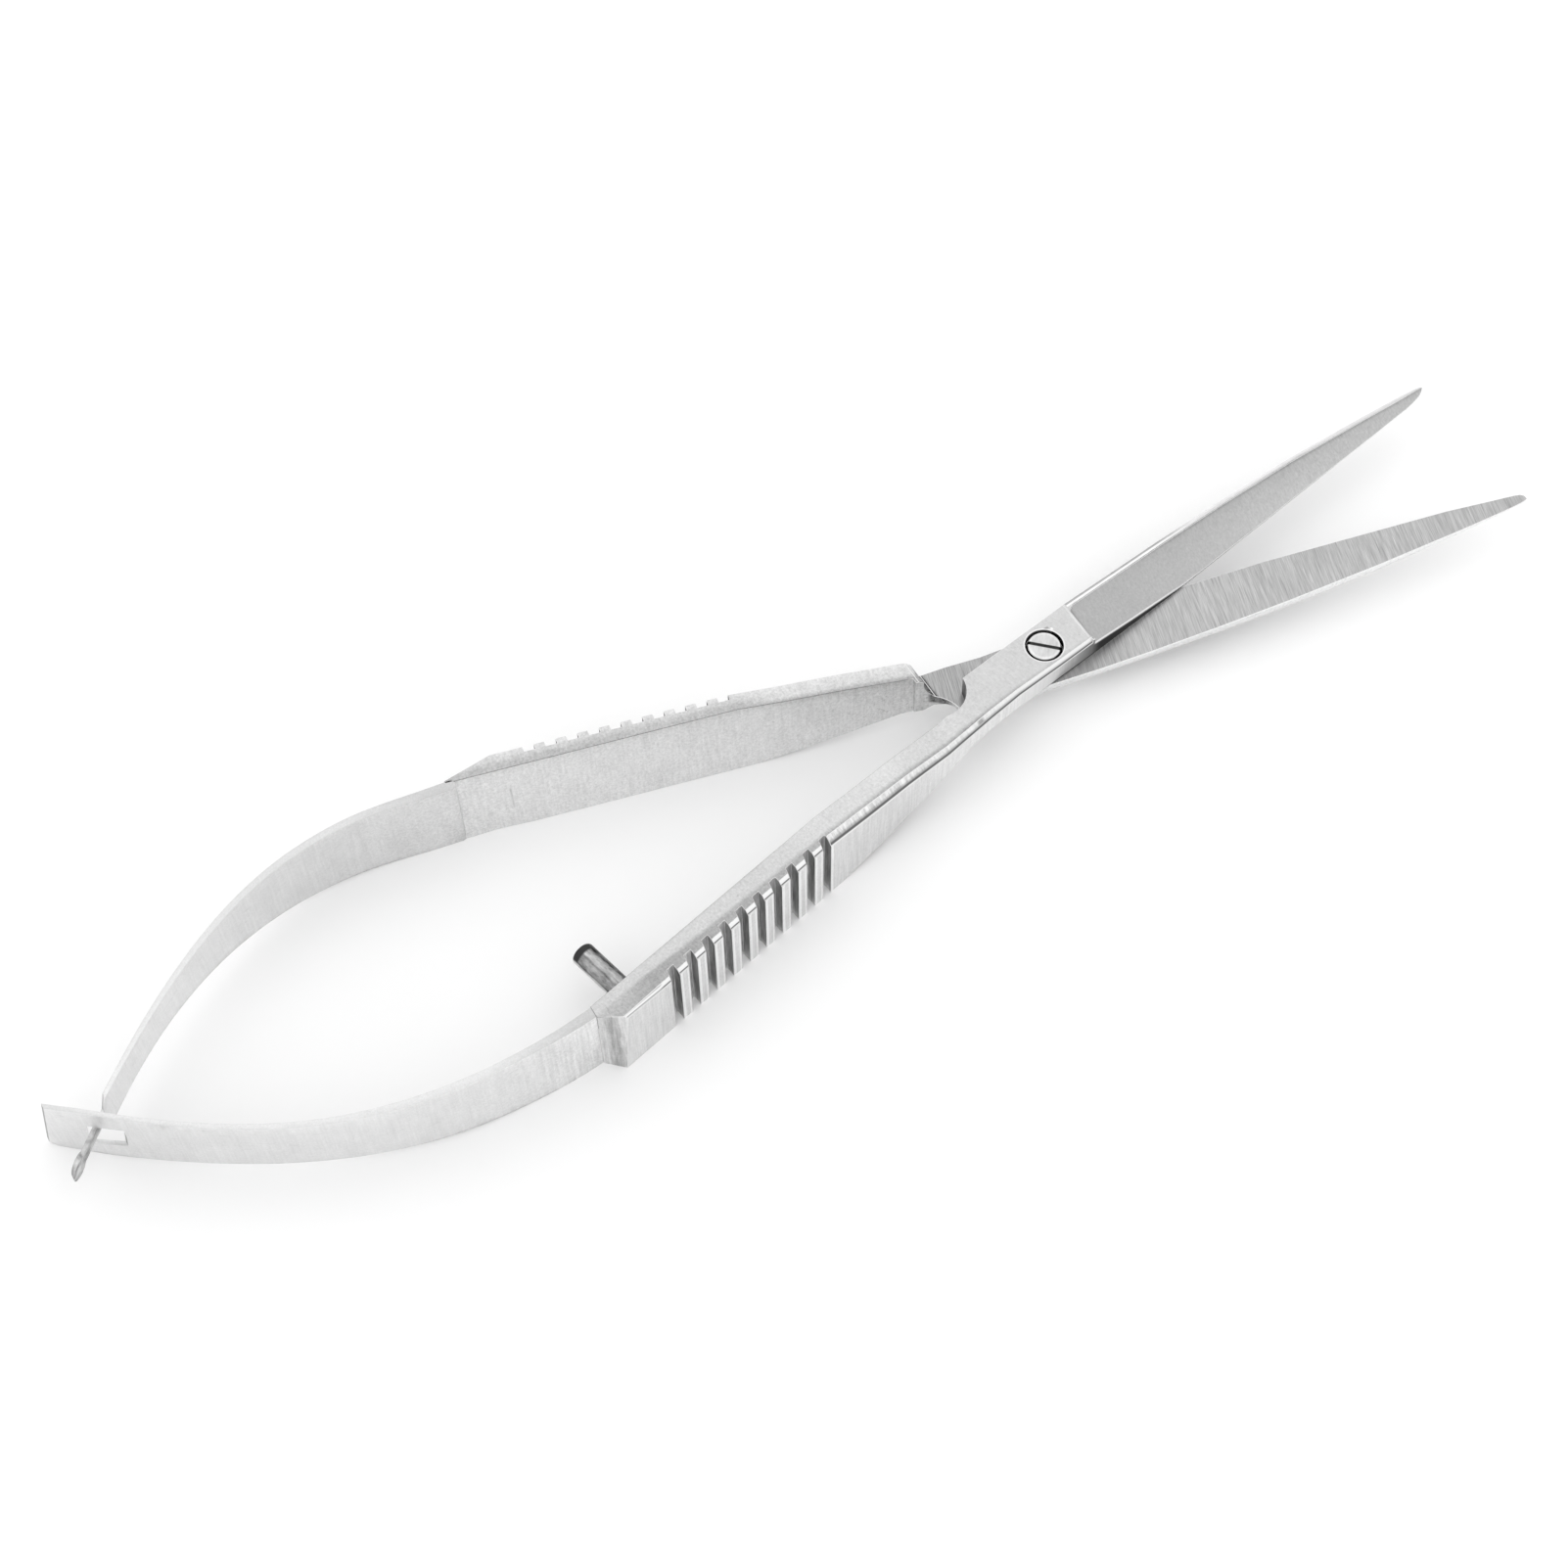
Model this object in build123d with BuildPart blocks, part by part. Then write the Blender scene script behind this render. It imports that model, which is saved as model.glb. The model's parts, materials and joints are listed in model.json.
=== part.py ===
from build123d import *
from math import atan, degrees, hypot
import os

# Thread snips with crossed spring handles, shown open at rest. Millimetres.
# X runs from the tail to the blade tips, Z is up. Outlines are given from the pivot centre
# on the shear plane. The lower lever is laid out like the upper one and then turned over.
os.makedirs("parts", exist_ok=True)

# place of the pivot in the part's own frame (rest face at z = 0, box centred in x and y)
PIVOT = (24.375, -0.042, 4.5)

# lever blanks
HALF_HEIGHT = 4.5  # half the height of the handle bars
LAP = 2.5  # thickness of each lever at the pivot
GAP = 0.02  # half of the working gap between the two levers
DRAFT = 0.75  # lean of the lower bar's inner face over its height
SLOPE = 0.2472  # slope of the handle bars in plan
OUTER_AT_PIVOT = -2.11  # outer face of the bar, carried forward to the pivot
INNER_AT_PIVOT = 0.98  # inner face of the bar, carried forward to the pivot
LOWER_INNER_AT_PIVOT = 0.56  # the same on the lower lever, whose bar is ground thinner

# finger grip
GROOVES = 10
GROOVE_PITCH_X = 2.0233
GROOVE_FIRST_X = -47.82
UPPER_GROOVE = [(-1.1, -0.3), (-0.03, -0.3), (0.1, 1.0), (-0.68, 1.0)]  # along the bar, depth
LOWER_GROOVE = [(-1.09, -0.3), (-0.03, -0.3), (0.05, 0.55), (-1.0, 0.55)]

# pivot screw and stop pin
SHANK_R = 1.1
HEAD_R = 1.62
HEAD_H = 0.85
BORE_R = 1.15
COUNTERBORE_R = 1.87
SLOT_W = 0.36
SLOT_TURN = -44.0
PIN_R = 1.15
PIN_PROUD = 6.7
PIN_SET = 2.2

# leaf springs
ROOT_T = 1.05
LEAF_TS = [ROOT_T, 0.88, 0.78, 0.74, 0.7, 0.65, 0.6, 0.55, 0.5, 0.45, 0.42, 0.42]
UPPER_LEAF = [(-56.8, -13.55), (-60.5, -13.85), (-64.05, -13.87), (-68.69, -13.57),
              (-73.25, -12.8), (-77.69, -11.56), (-81.97, -9.86), (-86.07, -7.75),
              (-90.0, -5.3), (-93.75, -2.59), (-97.34, 0.31), (-102.2, 4.55)]
LOWER_LEAF = [(-57.4, 13.95), (-60.35, 14.42), (-64.99, 15.16), (-69.62, 15.26),
              (-74.18, 14.7), (-78.58, 13.49), (-82.8, 11.68), (-86.84, 9.39),
              (-90.68, 6.71), (-94.31, 3.72), (-97.73, 0.66), (-101.5, -2.95)]
UPPER_LEAF_TOP = [(-56.0, 4.4), (-66.0, 4.2), (-74.0, 3.85), (-82.5, 3.5), (-90.0, 3.6), (-98.0, 3.9)]
UPPER_LEAF_BOTTOM = [(-56.0, -4.5), (-66.0, -4.35), (-74.0, -4.0), (-82.5, -3.6), (-91.5, -3.85),
                     (-97.5, -4.45)]
UPPER_LEAF_END = [(-100.7, 3.55), (-101.85, -4.0), (-101.4, -4.45)]
LOWER_LEAF_HALF_HEIGHT = [(-56.0, 4.5), (-67.0, 4.2), (-76.0, 3.35), (-84.0, 2.35), (-95.85, 1.9)]
WINDOW = [(-95.66, 1.4), (-95.7, 0.1), (-95.95, -1.9), (-98.65, -2.5), (-98.2, 1.2)]
TONGUE_TOP = [(-96.5, 0.55), (-98.0, 0.58), (-99.6, 0.62)]
TONGUE_BOTTOM = [(-99.6, -0.4), (-98.0, -0.36), (-96.5, -0.45)]

# blade stations from the pivot: x, cutting side, spine at the shear face, spine at the top, top
LAP_STATIONS = [
    (-8.6, -4.2, 0.85, 0.85, 2.5),
    (-5.0, -3.45, 2.05, 1.5, 2.5),
    (0.0, -2.67, 2.98, 2.35, 2.5),
    (4.4, -1.95, 3.75, 3.1, 2.5),
    (10.0, -0.95, 4.6, 4.0, 2.2),
    (17.0, 0.3, 5.55, 5.1, 1.9),
    (25.0, 1.95, 6.5, 6.18, 1.6),
    (35.0, 4.0, 7.5, 7.35, 1.2),
    (45.0, 6.0, 8.29, 8.12, 0.85),
    (50.0, 7.05, 8.6, 8.46, 0.62),
    (51.2, 7.38, 8.65, 8.52, 0.55),
    (52.2, 7.73, 8.67, 8.56, 0.48),
    (52.8, 8.1, 8.62, 8.54, 0.4),
    (53.1, 8.42, 8.54, 8.5, 0.3),
]
# how much further the lower blade reaches past its edge line
LOWER_EDGE = {0.0: -0.18, 4.4: -0.4, 10.0: -0.55, 17.0: -0.55, 25.0: -0.75, 35.0: -0.65,
              45.0: -0.4, 50.0: -0.1, 51.2: -0.12, 52.2: -0.2, 52.8: -0.35, 53.1: -0.35, 54.0: -0.35}
LOWER_SPINE = {0.0: -0.35, 4.4: -0.3, 10.0: -0.2, 17.0: -0.1}
# ground face: x, height along the spine rim, height along the cutting side, inset of its corners
GRIND_STATIONS = [
    (4.4, 2.34, 1.75, 0.65),
    (4.55, 2.33, 1.73, 0.3),
    (5.1, 2.3, 1.66, 0.0),
    (10.0, 2.04, 1.0, 0.0),
    (17.0, 1.75, 0.28, 0.0),
    (25.0, 1.46, 0.2, 0.0),
    (35.0, 1.07, 0.17, 0.0),
    (45.0, 0.74, 0.14, 0.0),
    (50.0, 0.54, 0.13, 0.0),
    (52.2, 0.42, 0.19, 0.0),
    (53.1, 0.27, 0.262, 0.0),
    (54.0, 0.15, 0.142, 0.0),
]
# width of the unground rim along the spine
RIM_WIDTHS = [(4.4, 0.5), (17.0, 0.47), (25.0, 0.42), (45.0, 0.36), (50.0, 0.33), (52.2, 0.22), (53.1, 0.06)]


def bar_outer(x):
    return OUTER_AT_PIVOT + SLOPE * x


def bar_inner(x):
    return INNER_AT_PIVOT + SLOPE * x


def lower_bar_inner(x):
    return LOWER_INNER_AT_PIVOT + SLOPE * x


def lerp(table, x, column):
    rows = sorted(table)
    x = min(max(x, rows[0][0]), rows[-1][0])
    for a, b in zip(rows, rows[1:]):
        if x <= b[0]:
            return a[column] + (b[column] - a[column]) * (x - a[0]) / (b[0] - a[0])
    return rows[-1][column]


def level(z):
    return Plane(origin=(PIVOT[0], PIVOT[1], PIVOT[2] + z))


def across(x):
    return Plane(origin=(PIVOT[0] + x, PIVOT[1], PIVOT[2]), x_dir=(0, 1, 0), z_dir=(1, 0, 0))


PIN_X = -51.9  # where the pin leaves the handle
PIN_TURN = hypot(1.0, SLOPE)
GRIP_TURN = degrees(atan(SLOPE))
PIN_PLANE = Plane(
    origin=(PIVOT[0] + PIN_X, PIVOT[1] + INNER_AT_PIVOT + SLOPE * PIN_X, PIVOT[2]),
    x_dir=(0, 0, 1),
    z_dir=(-SLOPE / PIN_TURN, 1.0 / PIN_TURN, 0),
)
SIDE = Plane(origin=PIVOT, x_dir=(1, 0, 0), z_dir=(0, -1, 0))
TURNED_SIDE = Plane(origin=PIVOT, x_dir=(1, 0, 0), z_dir=(0, 1, 0))


def turned_across(x):
    return Plane(origin=(PIVOT[0] + x, PIVOT[1], PIVOT[2]), x_dir=(0, -1, 0), z_dir=(1, 0, 0))


def turned_level(z):
    return Plane(origin=(PIVOT[0], PIVOT[1], PIVOT[2] - z), x_dir=(1, 0, 0), z_dir=(0, 0, -1))


def ribbon(points, thicknesses):
    """The two faces of a strip that follows the given line."""
    left, right = [], []
    for i, ((x, y), thickness) in enumerate(zip(points, thicknesses)):
        x0, y0 = points[max(i - 1, 0)]
        x1, y1 = points[min(i + 1, len(points) - 1)]
        run = hypot(x1 - x0, y1 - y0)
        nx, ny = -(y1 - y0) / run * thickness / 2, (x1 - x0) / run * thickness / 2
        left.append((x + nx, y + ny))
        right.append((x - nx, y - ny))
    return left, right


# ---- shape shared by the two levers, as rows for the upper one ----
# height of the outer top edge
LOWER_TOP_EDGE = [(-54.4, 4.5), (-29.6, 4.5), (-25.0, 3.9), (-19.6, 3.35), (-14.3, 2.5), (4.5, 2.5)]
UPPER_TOP_EDGE = [(-54.4, 4.47), (-50.0, 4.24), (-32.0, 4.46)] + LOWER_TOP_EDGE[1:]


def lap_section(row, lower):
    x, cut, spine, spine_top, top = row
    if lower:
        cut = cut + LOWER_EDGE.get(x, 0.0)
        spine_top = spine_top + LOWER_SPINE.get(x, 0.0)
    return [(cut, GAP), (cut, top), (spine_top, top), (spine, GAP)]


def grind_section(row, lower):
    x, rim_z, edge_z, inset = row
    cut = lerp(LAP_STATIONS, x, 1)
    if lower:
        cut = cut + LOWER_EDGE.get(x, -0.4)
    rim_y = lerp(LAP_STATIONS, x, 3) - lerp(RIM_WIDTHS, x, 1)
    if lower:
        rim_y = rim_y + LOWER_SPINE.get(x, 0.0)
    fall = (rim_z - edge_z) / (rim_y - cut)
    near = cut + inset if inset else cut - 1.0
    far = rim_y - inset
    return [(far, rim_z - fall * inset), (near, edge_z + fall * (near - cut)), (near, 4.0), (far, 4.0)]


def chamfer_section(x, lower):
    leg = lerp(CHAMFER_LEGS, x, 1)
    top = lerp(LOWER_TOP_EDGE if lower else UPPER_TOP_EDGE, x, 1)
    if x >= -8.6:
        side = lerp(LAP_STATIONS, x, 1)
    elif x > -12.0:
        side = bar_outer(x) + (x + 12.0) / 3.4 * (-4.2 - bar_outer(-8.6))
    else:
        side = bar_outer(x)
    return [(side - 0.3, top - leg - 0.3), (side + leg + 0.3, top + 0.3), (side - 0.3, top + 0.3)]


# relief of the lower lever's inner edge behind the lap: x, y, leg
RELIEF = [(-12.6, -2.5, 0.1), (-11.9, -2.1, 0.6), (-11.2, -1.65, 1.5), (-10.4, -0.8, 2.1), (-9.2, 0.6, 2.1)]
# chamfer along the outer top edge: x, leg
CHAMFER_LEGS = [(-54.4, 0.3), (-50.0, 0.38), (-32.0, 0.42), (-29.9, 0.42), (-29.6, 0.8), (-25.0, 0.8),
                (-19.6, 0.72), (-14.3, 0.65), (-12.0, 0.6), (-8.6, 0.55), (-5.0, 0.5), (0.0, 0.45),
                (4.4, 0.42)]

# ---- ground faces (tools for the two blades) ----
with BuildPart() as upper_grind:
    for grind_row in GRIND_STATIONS:
        with BuildSketch(across(grind_row[0])):
            Polygon(*grind_section(grind_row, False), align=None)
    loft(ruled=True)

with BuildPart() as lower_grind:
    for grind_row in GRIND_STATIONS:
        with BuildSketch(across(grind_row[0])):
            Polygon(*[(-y, -z) for y, z in grind_section(grind_row, True)], align=None)
    loft(ruled=True)

# ---- upper lever: handle bar, lap and blade ----
with BuildPart() as upper_lever:
    with BuildSketch(level(-HALF_HEIGHT)):
        with BuildLine():
            Polyline(
                (-8.8, 0.8),
                (-8.6, 0.85),
                (-8.6, -4.2),
                (-12.0, bar_outer(-12.0)),
                (-54.6, bar_outer(-54.6)),
                (-56.18, bar_inner(-56.2) - 1.2),
                (-56.18, bar_inner(-56.2)),
                (-12.4, bar_inner(-12.4)),
            )
            ThreePointArc((-12.4, bar_inner(-12.4)), (-9.99, -1.44), (-8.8, 0.8))
        make_face()
    extrude(amount=2 * HALF_HEIGHT)
    with BuildSketch(SIDE):
        with BuildLine():
            Polyline(
                (-11.0, GAP),
                (0.0, GAP),
                (0.0, LAP),
                (-14.3, LAP),
                (-19.6, 3.35),
                (-25.0, 3.9),
                (-29.6, HALF_HEIGHT),
                (-57.0, HALF_HEIGHT),
                (-57.0, -HALF_HEIGHT),
                (-28.2, -HALF_HEIGHT),
            )
            ThreePointArc((-28.2, -HALF_HEIGHT), (-19.6, -2.85), (-11.0, GAP))
        make_face()
    extrude(amount=40, both=True, mode=Mode.INTERSECT)
    # finger grip, cut square to the outer face
    for i in range(GROOVES):
        groove_x = GROOVE_FIRST_X + i * GROOVE_PITCH_X
        with BuildSketch(level(-HALF_HEIGHT - 1)):
            with Locations(Location((groove_x, bar_outer(groove_x)), GRIP_TURN)):
                Polygon(*UPPER_GROOVE, align=None)
        extrude(amount=2 * HALF_HEIGHT + 2, mode=Mode.SUBTRACT)
    # sloping facet beside the grip
    with BuildSketch(across(-55.0)):
        Polygon((-13.35, 4.5), (-16.4, 4.46), (-16.4, 4.8), (-13.35, 4.8), align=None)
    with BuildSketch(across(-50.0)):
        Polygon((-12.55, 4.5), (-15.6, 4.08), (-15.6, 4.8), (-12.55, 4.8), align=None)
    with BuildSketch(across(-32.0)):
        Polygon((-9.75, 4.5), (-10.4, 4.42), (-10.4, 4.8), (-9.75, 4.8), align=None)
    loft(ruled=True, mode=Mode.SUBTRACT)
    # tail face, leaning back towards the underside
    for z, corner_x in ((-4.6, -54.6), (4.6, -53.8)):
        with BuildSketch(level(z)):
            Polygon(
                (-56.3, bar_inner(-56.2) - 1.17),
                (corner_x + 0.02, bar_outer(corner_x + 0.02)),
                (corner_x + 0.02, bar_outer(corner_x) - 1.5),
                (-57.5, bar_outer(corner_x) - 1.5),
                (-57.5, bar_inner(-56.2) - 1.17),
                align=None,
            )
    loft(ruled=True, mode=Mode.SUBTRACT)
    # lap and blade blank
    for row in LAP_STATIONS:
        with BuildSketch(across(row[0])):
            Polygon(*lap_section(row, False), align=None)
    loft(ruled=True)
    # bright chamfer along the outer top edge
    for chamfer_x, _ in CHAMFER_LEGS:
        with BuildSketch(across(chamfer_x)):
            Polygon(*chamfer_section(chamfer_x, False), align=None)
    loft(ruled=True, mode=Mode.SUBTRACT)
    # ground blade face
    add(upper_grind.part, mode=Mode.SUBTRACT)
    # screw hole and counterbore
    with BuildSketch(level(-1.0)):
        Circle(BORE_R)
    extrude(amount=5.0, mode=Mode.SUBTRACT)
    with BuildSketch(level(LAP - HEAD_H - 0.05)):
        Circle(COUNTERBORE_R)
    extrude(amount=3.0, mode=Mode.SUBTRACT)
    # hole for the stop pin
    with BuildSketch(PIN_PLANE):
        Circle(PIN_R)
    extrude(amount=-PIN_SET, mode=Mode.SUBTRACT)
upper_lever.part.label = "upper_lever"

# ---- lower lever: the same blank turned over, with a filed shoulder behind the lap ----
with BuildPart() as lower_lever:
    with BuildSketch(turned_level(-HALF_HEIGHT)):
        with BuildLine():
            Polyline(
                (-9.9, 0.5),
                (-8.6, 0.85),
                (-8.6, -4.2),
                (-11.3, -4.6),
                (-12.1, -4.95),
                (-12.8, -5.24),
                (-13.8, bar_outer(-13.8)),
                (-51.9, bar_outer(-51.9)),
                (-56.78, -14.5),
                (-56.78, -13.4),
                (-53.2, -12.75),
                (-49.5, lower_bar_inner(-49.5)),
                (-12.9, lower_bar_inner(-12.9)),
            )
            ThreePointArc((-12.9, lower_bar_inner(-12.9)), (-10.8, -1.4), (-9.9, 0.5))
        make_face()
    extrude(amount=2 * HALF_HEIGHT)
    with BuildSketch(TURNED_SIDE):
        with BuildLine():
            Polyline(
                (-11.15, GAP),
                (0.0, GAP),
                (0.0, LAP),
                (-14.3, LAP),
                (-19.6, 3.35),
                (-24.0, 4.0),
                (-28.0, HALF_HEIGHT),
                (-58.0, HALF_HEIGHT),
                (-58.0, -HALF_HEIGHT),
                (-29.6, -HALF_HEIGHT),
                (-25.0, -3.9),
                (-19.6, -3.35),
                (-14.0, -2.6),
                (-12.6, -2.45),
                (-12.1, -2.1),
            )
            ThreePointArc((-12.1, -2.1), (-11.9, -0.85), (-11.15, GAP))
        make_face()
    extrude(amount=40, both=True, mode=Mode.INTERSECT)
    # inner face leans outward towards the upper side
    for draft_x in (-58.0, -12.9):
        with BuildSketch(turned_across(draft_x)):
            Polygon(
                (lower_bar_inner(draft_x), 4.6),
                (lower_bar_inner(draft_x) - DRAFT, -4.6),
                (lower_bar_inner(draft_x) + 6.0, -4.6),
                (lower_bar_inner(draft_x) + 6.0, 4.6),
                align=None,
            )
    loft(ruled=True, mode=Mode.SUBTRACT)
    # inner edge relieved behind the lap
    for relief_x, relief_y, leg in RELIEF:
        with BuildSketch(turned_across(relief_x)):
            Polygon(
                (relief_y + 0.5, 2.3 - leg),
                (relief_y + 0.5, 4.0),
                (relief_y - leg, 4.0),
                (relief_y - leg, 2.8),
                align=None,
            )
    loft(ruled=True, mode=Mode.SUBTRACT)
    for i in range(GROOVES):
        groove_x = GROOVE_FIRST_X + i * GROOVE_PITCH_X
        with BuildSketch(turned_level(-HALF_HEIGHT - 1)):
            with Locations(Location((groove_x, bar_outer(groove_x)), GRIP_TURN)):
                Polygon(*LOWER_GROOVE, align=None)
        extrude(amount=2 * HALF_HEIGHT + 2, mode=Mode.SUBTRACT)
    # lap and blade blank
    for row in LAP_STATIONS:
        with BuildSketch(across(row[0])):
            Polygon(*[(-y, -z) for y, z in lap_section(row, True)], align=None)
    loft(ruled=True)
    for chamfer_x, _ in CHAMFER_LEGS:
        with BuildSketch(across(chamfer_x)):
            Polygon(*[(-y, -z) for y, z in chamfer_section(chamfer_x, True)], align=None)
    loft(ruled=True, mode=Mode.SUBTRACT)
    add(lower_grind.part, mode=Mode.SUBTRACT)
    # screw hole
    with BuildSketch(level(-LAP - 1)):
        Circle(SHANK_R)
    extrude(amount=4.0, mode=Mode.SUBTRACT)
lower_lever.part.label = "lower_lever"

# ---- pivot screw: flush slotted head, shank screwed into the lower lever ----
with BuildPart() as pivot_screw:
    with BuildSketch(level(-LAP + 0.05)):
        Circle(SHANK_R)
    extrude(amount=2 * LAP - HEAD_H - 0.05)
    with BuildSketch(level(LAP - HEAD_H)):
        Circle(HEAD_R)
    extrude(amount=HEAD_H - 0.05)
    chamfer(pivot_screw.edges().group_by(Axis.Z)[-1], 0.1)
    with BuildSketch(level(LAP - 0.5)):
        with Locations(Location((0, 0), SLOT_TURN)):
            Rectangle(2 * HEAD_R + 1, SLOT_W)
    extrude(amount=1.0, mode=Mode.SUBTRACT)
pivot_screw.part.label = "pivot_screw"

# ---- stop pin: pressed square into the upper handle, domed free end ----
with BuildPart() as stop_pin:
    with BuildSketch(PIN_PLANE.offset(-PIN_SET)):
        Circle(PIN_R)
    extrude(amount=PIN_SET + PIN_PROUD)
    fillet(stop_pin.edges().sort_by(Axis.Y)[-1], 0.4)
stop_pin.part.label = "stop_pin"

# ---- upper leaf spring: strip with a window near its tail end ----
with BuildPart() as upper_leaf_spring:
    with BuildSketch(level(-HALF_HEIGHT)):
        with BuildLine():
            near, far = ribbon(UPPER_LEAF, LEAF_TS)
            Spline(*near)
            Line(near[-1], far[-1])
            Spline(*far)
            Line(near[0], far[0])
        make_face()
        with Locations(UPPER_LEAF[0]):
            Circle(ROOT_T / 2)
    extrude(amount=2 * HALF_HEIGHT)
    with BuildSketch(SIDE):
        with BuildLine():
            Spline(*UPPER_LEAF_TOP)
            Polyline(UPPER_LEAF_TOP[-1], *UPPER_LEAF_END, UPPER_LEAF_BOTTOM[-1])
            Spline(*UPPER_LEAF_BOTTOM)
            Line(UPPER_LEAF_BOTTOM[0], UPPER_LEAF_TOP[0])
        make_face()
    extrude(amount=40, both=True, mode=Mode.INTERSECT)
    with BuildSketch(SIDE):
        Polygon(*WINDOW, align=None)
    extrude(amount=40, both=True, mode=Mode.SUBTRACT)
upper_leaf_spring.part.label = "upper_leaf_spring"

# ---- lower leaf spring: strip that narrows to a tongue passing through the window ----
with BuildPart() as lower_leaf_spring:
    with BuildSketch(level(-HALF_HEIGHT)):
        with BuildLine():
            near, far = ribbon(LOWER_LEAF, LEAF_TS)
            Spline(*near)
            Line(near[-1], far[-1])
            Spline(*far)
            Line(near[0], far[0])
        make_face()
        with Locations(LOWER_LEAF[0]):
            Circle(ROOT_T / 2)
    extrude(amount=2 * HALF_HEIGHT)
    with BuildSketch(SIDE):
        with BuildLine():
            Spline(*LOWER_LEAF_HALF_HEIGHT)
            Polyline(LOWER_LEAF_HALF_HEIGHT[-1], *TONGUE_TOP)
            ThreePointArc(TONGUE_TOP[-1], (-101.1, 0.15), TONGUE_BOTTOM[0])
            Polyline(*TONGUE_BOTTOM, (LOWER_LEAF_HALF_HEIGHT[-1][0], -1.9))
            Spline(*[(x, -z) for x, z in LOWER_LEAF_HALF_HEIGHT])
            Line((-56.0, 4.5), (-56.0, -4.5))
        make_face()
    extrude(amount=40, both=True, mode=Mode.INTERSECT)
lower_leaf_spring.part.label = "lower_leaf_spring"

export_step(upper_lever.part, "parts/upper_lever.step")
export_step(lower_lever.part, "parts/lower_lever.step")
export_step(pivot_screw.part, "parts/pivot_screw.step")
export_step(stop_pin.part, "parts/stop_pin.step")
export_step(upper_leaf_spring.part, "parts/upper_leaf_spring.step")
export_step(lower_leaf_spring.part, "parts/lower_leaf_spring.step")
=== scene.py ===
import json
import math

import bmesh
import bpy
from mathutils import Matrix, Vector


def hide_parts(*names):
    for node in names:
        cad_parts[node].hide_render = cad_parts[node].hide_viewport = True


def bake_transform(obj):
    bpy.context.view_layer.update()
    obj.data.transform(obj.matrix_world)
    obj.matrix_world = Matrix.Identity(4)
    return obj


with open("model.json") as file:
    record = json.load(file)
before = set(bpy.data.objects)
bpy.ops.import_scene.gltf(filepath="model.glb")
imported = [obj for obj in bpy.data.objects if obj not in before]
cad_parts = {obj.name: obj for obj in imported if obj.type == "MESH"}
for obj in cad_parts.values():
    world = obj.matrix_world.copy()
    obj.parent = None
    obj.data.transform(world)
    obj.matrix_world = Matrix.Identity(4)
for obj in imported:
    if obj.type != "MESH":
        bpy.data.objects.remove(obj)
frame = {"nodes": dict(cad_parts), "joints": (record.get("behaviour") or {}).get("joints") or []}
nodes = frame["nodes"]
joints = {j["name"]: j for j in frame["joints"]}
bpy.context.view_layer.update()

# Places and lengths are millimetres from the pivot, with X towards the blade tips and Z up.
MM = 0.001
PIVOT = Vector(joints["squeeze"]["pos_m"])
SLOPE = 0.2472  # slope of the handle bars in plan
BAR_TURN = math.atan(SLOPE)
BAR_OFFSET = 2.11  # from the pivot to the bars' outer sides, carried on straight
INNER_OFFSET = 0.16  # from the pivot to the lower bar's inner side, carried on straight
STEP_X = 4.4  # where the lap ends and the upper blade's ground face begins
GROOVE_FIRST_X = -47.82
GROOVE_PITCH = 2.0233
PIN_X, PIN_Y = -51.9, -11.85  # where the pin leaves its handle

# the upper bar's and lap's outer side beside its straight line, and the width of its chamfer
SIDE_BEND = [(-8.6, 0.0), (-5.0, -0.1), (0.0, -0.56), (STEP_X, -0.93)]
CHAMFER_WIDTHS = [(-54.4, 0.3), (-50.0, 0.38), (-32.0, 0.42), (-29.9, 0.42), (-29.6, 0.8), (-25.0, 0.8),
                  (-19.6, 0.72), (-14.3, 0.65), (-12.0, 0.6), (-8.6, 0.55), (-5.0, 0.5), (0.0, 0.45),
                  (STEP_X, 0.42)]

# the upper blade's spine at its top, and the width of the rim left beside its ground face
SPINE_TOP = [(STEP_X, 3.1), (10.0, 4.0), (17.0, 5.1), (25.0, 6.18), (35.0, 7.35), (45.0, 8.12), (50.0, 8.46),
             (52.2, 8.56), (53.1, 8.5)]
RIM_WIDTHS = [(STEP_X, 0.5), (17.0, 0.47), (25.0, 0.42), (45.0, 0.36), (50.0, 0.33), (52.2, 0.22),
              (53.1, 0.06)]

# how far up a normal points (its Z) where walls give way to top faces
WALL_Z, TOP_Z = 0.5, 0.8

# how noise is stretched
EVEN = (1.0, 1.0, 1.0)
UPRIGHT = (1.0, 1.0, 0.05)  # lines that run up and down the walls
FORGED = {"detail": 6.0, "rough": 0.75}  # fine, rough grain

# light and tone
SKY = 1.12  # the white room is a little over-exposed
METAL_GAIN = 1.0 / SKY
DARKEST, LIGHTEST = 0.012, 1.05
BUMP_STRENGTH = 0.6
FLOOR_SIZE = 6.0  # metres


def place(x, y, z=0.0):
    return PIVOT + Vector((x, y, z)) * MM


def level_at(table, x):
    """The table's value at x, on straight runs between its points."""
    for (x0, y0), (x1, y1) in zip(table, table[1:]):
        if x <= x1:
            return y0 + (y1 - y0) * max(0.0, x - x0) / (x1 - x0)
    return table[-1][1]


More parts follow.
